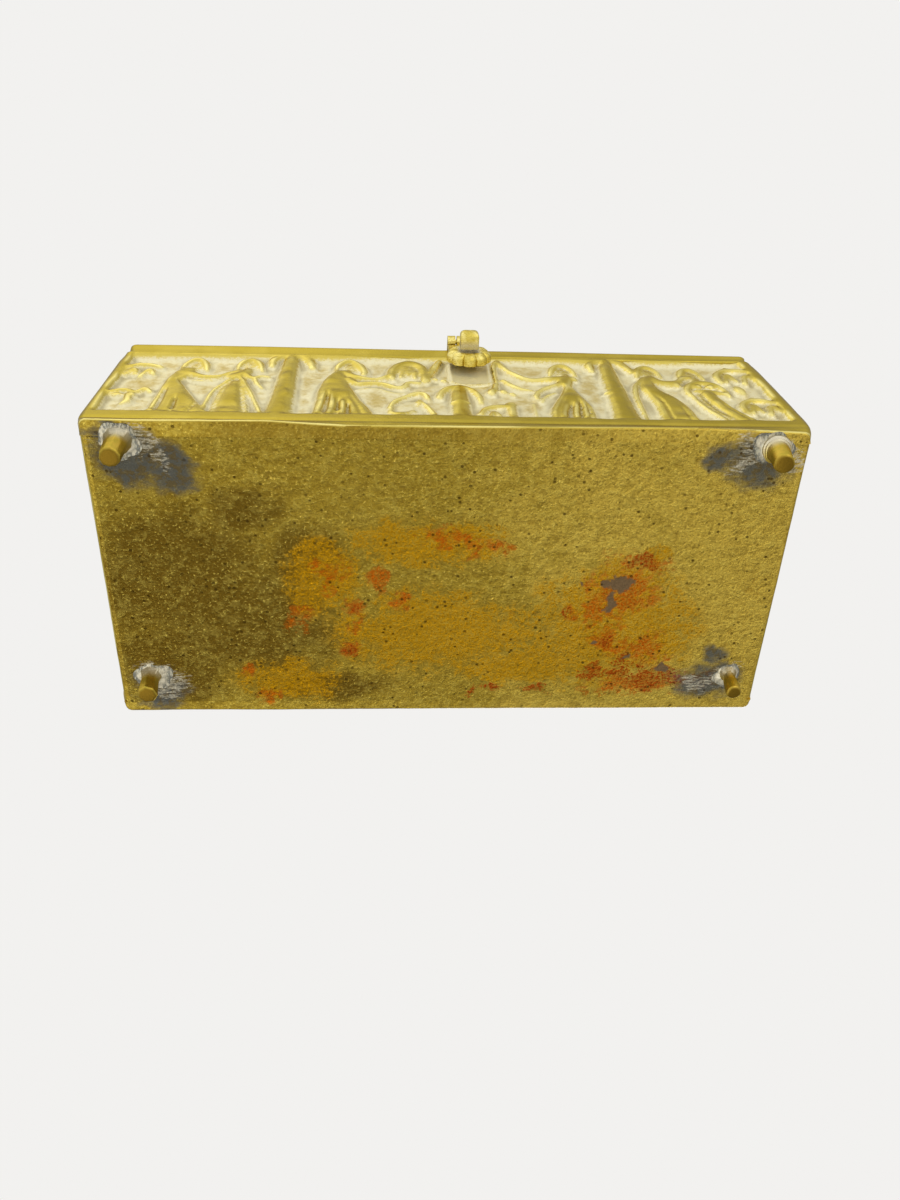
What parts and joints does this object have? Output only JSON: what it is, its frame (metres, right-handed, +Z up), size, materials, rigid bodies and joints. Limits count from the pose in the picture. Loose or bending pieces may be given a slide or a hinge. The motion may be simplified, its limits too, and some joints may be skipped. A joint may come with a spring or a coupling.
{
  "type": "hinged casket",
  "caption": "Oblong cast brass casket on short feet, with relief panels, a rear-hinged lid and a front hasp with a lifting lug.",
  "frame": {"origin": "on the surface that the feet stand on, under the middle of the part's outer box", "axes": "+X to the right as seen from the front, -Y out of the front wall with the hasp, +Z up towards the lid"},
  "size_m": [0.21, 0.115, 0.0846],
  "materials": {
    "cast_brass": "cast, hand-worn satin",
    "plate_brass": "cast, dull, granular",
    "fitting_brass": "filed and hand-worn",
    "foot_brass": "cast, rough filed",
    "soft_solder": "dull grey soft solder"
  },
  "bodies": {
    "box": {"front_panel": "cast_brass", "rear_panel": "cast_brass", "left_end_panel": "cast_brass", "right_end_panel": "cast_brass", "bottom_plate": "plate_brass", "lock_plate": "cast_brass", "foot_front_left": "foot_brass", "solder_front_left": "soft_solder", "foot_front_right": "foot_brass", "solder_front_right": "soft_solder", "foot_rear_left": "foot_brass", "solder_rear_left": "soft_solder", "foot_rear_right": "foot_brass", "solder_rear_right": "soft_solder", "hinge_body_leaf_left": "fitting_brass", "hinge_pin_left": "fitting_brass", "body_stud_left_outer": "fitting_brass", "body_stud_left_inner": "fitting_brass", "hinge_body_leaf_right": "fitting_brass", "hinge_pin_right": "fitting_brass", "body_stud_right_outer": "fitting_brass", "body_stud_right_inner": "fitting_brass"},
    "lid": {"lid": "cast_brass", "hinge_lid_leaf_left": "fitting_brass", "hinge_lid_leaf_right": "fitting_brass", "lid_stud_left_outer": "fitting_brass", "lid_stud_left_inner": "fitting_brass", "lid_stud_right_outer": "fitting_brass", "lid_stud_right_inner": "fitting_brass", "hasp_leaf": "fitting_brass", "hasp_pin": "fitting_brass", "hasp_stud_front": "fitting_brass", "hasp_stud_rear": "fitting_brass"},
    "hasp": {"hasp_plate": "fitting_brass", "hasp_lug": "fitting_brass"}
  },
  "joints": [
    {"name": "lid_hinge", "type": "hinge", "parent": "box", "child": "lid", "pos_m": [0, 0.05485, 0.07365], "axis": [-1, 0, 0], "range_deg": [0, 110]},
    {"name": "hasp_hinge", "type": "hinge", "parent": "lid", "child": "hasp", "pos_m": [0.0065, -0.04935, 0.0815], "axis": [-1, 0, 0], "range_deg": [0, 165]}
  ]
}
